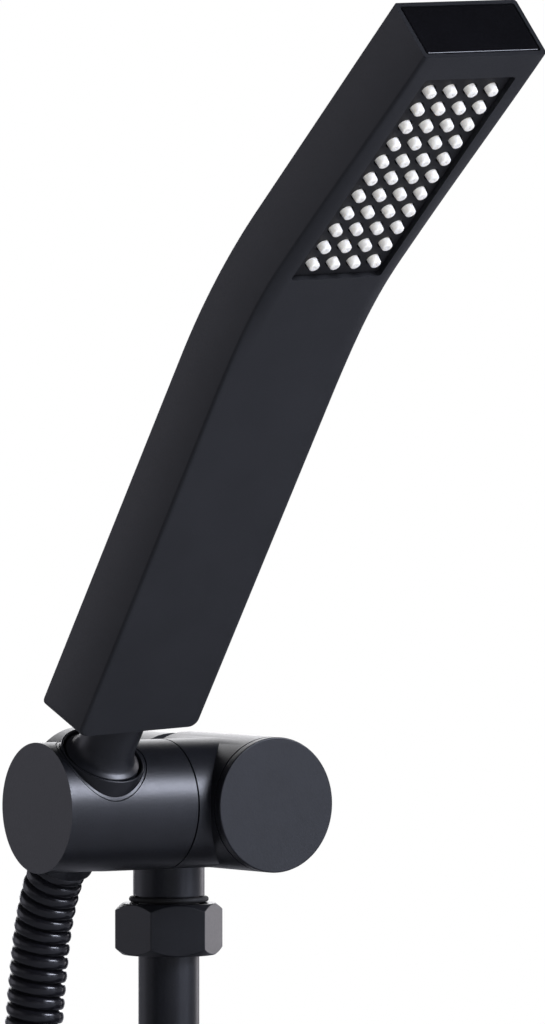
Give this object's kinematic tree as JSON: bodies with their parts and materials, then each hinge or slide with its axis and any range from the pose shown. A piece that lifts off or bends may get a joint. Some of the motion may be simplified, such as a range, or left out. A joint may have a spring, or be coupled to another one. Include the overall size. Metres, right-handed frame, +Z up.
{
  "type": "hand shower set",
  "caption": "Slim square stick hand shower standing in a tilting round wall holder, with its ribbed metal hose coiled below.",
  "frame": {"origin": "on the wall, at the middle of the bracket arm's end", "axes": "+Z up, +Y into the wall, so the room and the spray are towards -Y; the holder's tilt axis runs along X, with the holder on the -X side"},
  "size_m": [0.1672, 0.2361, 0.4121],
  "materials": {
    "black_enamel": "matt powder coat",
    "black_handset": "matt coated",
    "black_plastic": "satin moulded",
    "grey_plate": "satin moulded",
    "white_silicone": "soft matt",
    "black_rubber": "matt",
    "brass": "turned",
    "stainless_steel": "turned",
    "black_hose": "satin"
  },
  "bodies": {
    "bracket": {"tee_body": "black_enamel", "front_cap": "black_enamel", "cap_oring": "black_rubber", "wall_sleeve": "black_enamel", "sleeve_oring": "black_rubber", "wall_bracket": "stainless_steel", "grub_screw": "stainless_steel", "riser_washer": "black_rubber", "union_nut": "black_enamel", "riser_olive": "brass", "riser_pipe": "black_enamel", "friction_washer": "black_plastic", "wave_washer": "stainless_steel", "pivot_screw": "stainless_steel", "hose_tube": "black_hose", "hose_coil": "black_hose", "coil_tie": "black_rubber", "hose_end_ferrule": "black_enamel"},
    "holder": {"holder_barrel": "black_enamel", "holder_liner": "black_plastic"},
    "hose_top": {"hose_cone_nut": "black_enamel", "hose_tail": "brass", "hose_washer": "black_rubber", "hose_top_ferrule": "stainless_steel"},
    "handset": {"handset_shell": "black_handset", "head_end_cap": "black_handset", "spray_plate": "grey_plate", "nozzle_mat": "white_silicone", "plate_seal": "black_rubber", "distributor": "black_plastic", "handset_inlet": "black_enamel", "flow_limiter": "black_plastic"},
    "end_nut": {"hose_end_nut": "black_enamel", "hose_end_washer": "black_rubber"}
  },
  "joints": [
    {"name": "holder_tilt", "type": "hinge", "parent": "bracket", "child": "holder", "pos_m": [0, -0.069, 0], "axis": [1, 0, 0], "range_deg": [-30, 35], "deforming": ["hose_tube"]},
    {"name": "handset_lift", "type": "slide", "parent": "holder", "child": "hose_top", "axis": [0, -0.5906, 0.807], "range_m": [0, 0.036], "deforming": ["hose_tube"]},
    {"name": "handset_turn", "type": "hinge", "parent": "hose_top", "child": "handset", "pos_m": [-0.0432, -0.069, 0], "axis": [0, -0.5906, 0.807], "range_deg": [-90, 90]},
    {"name": "end_nut_turn", "type": "hinge", "parent": "bracket", "child": "end_nut", "pos_m": [-0.0432, -0.0896, -0.21], "axis": [0, 0, 1], "continuous": true}
  ]
}
